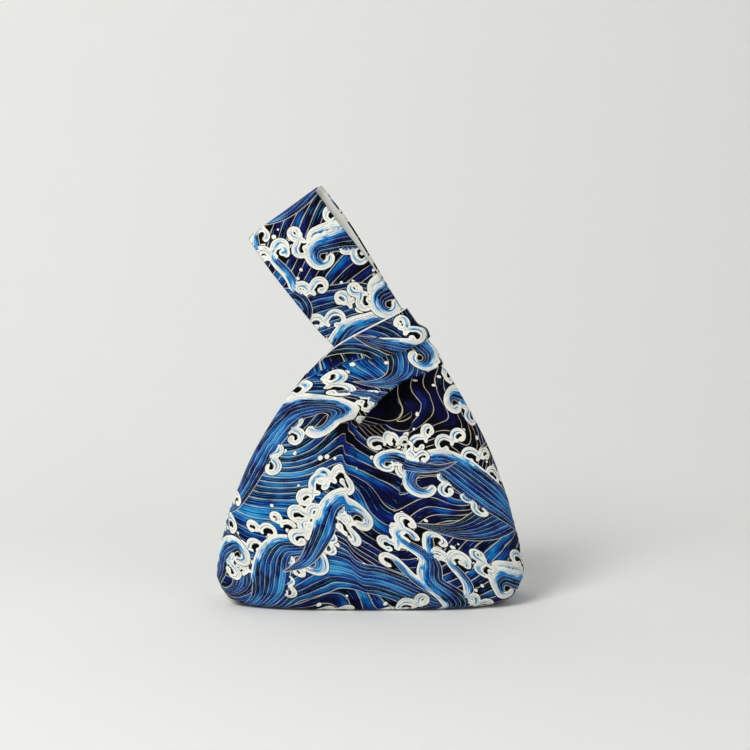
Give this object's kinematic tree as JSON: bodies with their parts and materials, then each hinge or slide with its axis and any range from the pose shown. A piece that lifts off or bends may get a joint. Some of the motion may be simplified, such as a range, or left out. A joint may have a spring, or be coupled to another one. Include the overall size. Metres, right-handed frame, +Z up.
{
  "type": "knot bag",
  "caption": "Soft lined cloth wrist bag with a boxed base, its long handle loop drawn through the short one so that the knot chokes the mouth shut.",
  "frame": {"origin": "middle of the base, on the surface that the bag stands on", "axes": "+Z up to the long handle's loop, +X to the right as the picture shows the bag, +Y to the bag's back"},
  "size_m": [0.2508, 0.0932, 0.3371],
  "materials": {
    "printed_cotton": "woven cotton with a printed wave pattern, matt",
    "lining_cotton": "plain woven cotton, matt"
  },
  "bodies": {
    "root": {"outer_front_panel": "printed_cotton", "outer_back_panel": "printed_cotton", "lining_front_panel": "lining_cotton", "lining_back_panel": "lining_cotton"}
  },
  "joints": []
}
